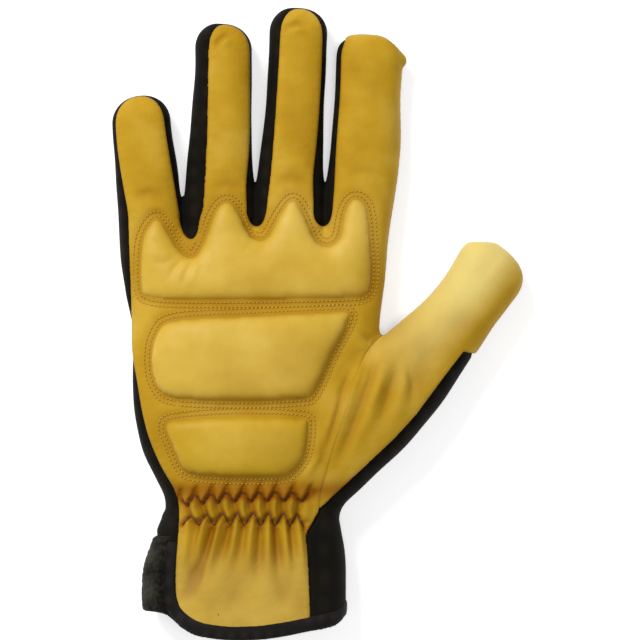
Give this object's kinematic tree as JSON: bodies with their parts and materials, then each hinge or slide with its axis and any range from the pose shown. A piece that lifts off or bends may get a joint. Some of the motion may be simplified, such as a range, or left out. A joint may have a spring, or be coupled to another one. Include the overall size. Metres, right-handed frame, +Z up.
{
  "type": "anti vibration work glove",
  "caption": "Right-hand work glove with leather palm and fingers, stretch fabric back and side walls, raised gel pads, gathered wrist and bound cuff with a closure tab.",
  "frame": {"origin": "centre of the glove's plan on the surface that its back rests on", "axes": "+X towards the thumb, +Y towards the fingertips, +Z up out of the palm"},
  "size_m": [0.161, 0.2504, 0.0335],
  "materials": {
    "goat_hide": "soft grain golden goat hide",
    "pad_cover": "the same hide drawn smooth over gel",
    "stretch_fabric": "black knitted stretch fabric",
    "cuff_fabric": "black padded stretch fabric",
    "binding_tape": "black ribbed binding tape",
    "loop_tape": "black loop tape with a fuzzy face"
  },
  "bodies": {
    "root": {"palm_leather": "goat_hide", "thumb_leather": "goat_hide", "pad_knuckles": "pad_cover", "pad_palm": "pad_cover", "pad_heel": "pad_cover", "back_panel": "stretch_fabric", "fourchette_pinky_ring": "stretch_fabric", "fourchette_ring_middle": "stretch_fabric", "fourchette_middle_index": "stretch_fabric", "cuff_back": "cuff_fabric", "cuff_binding": "binding_tape", "closure_tab": "loop_tape"}
  },
  "joints": []
}
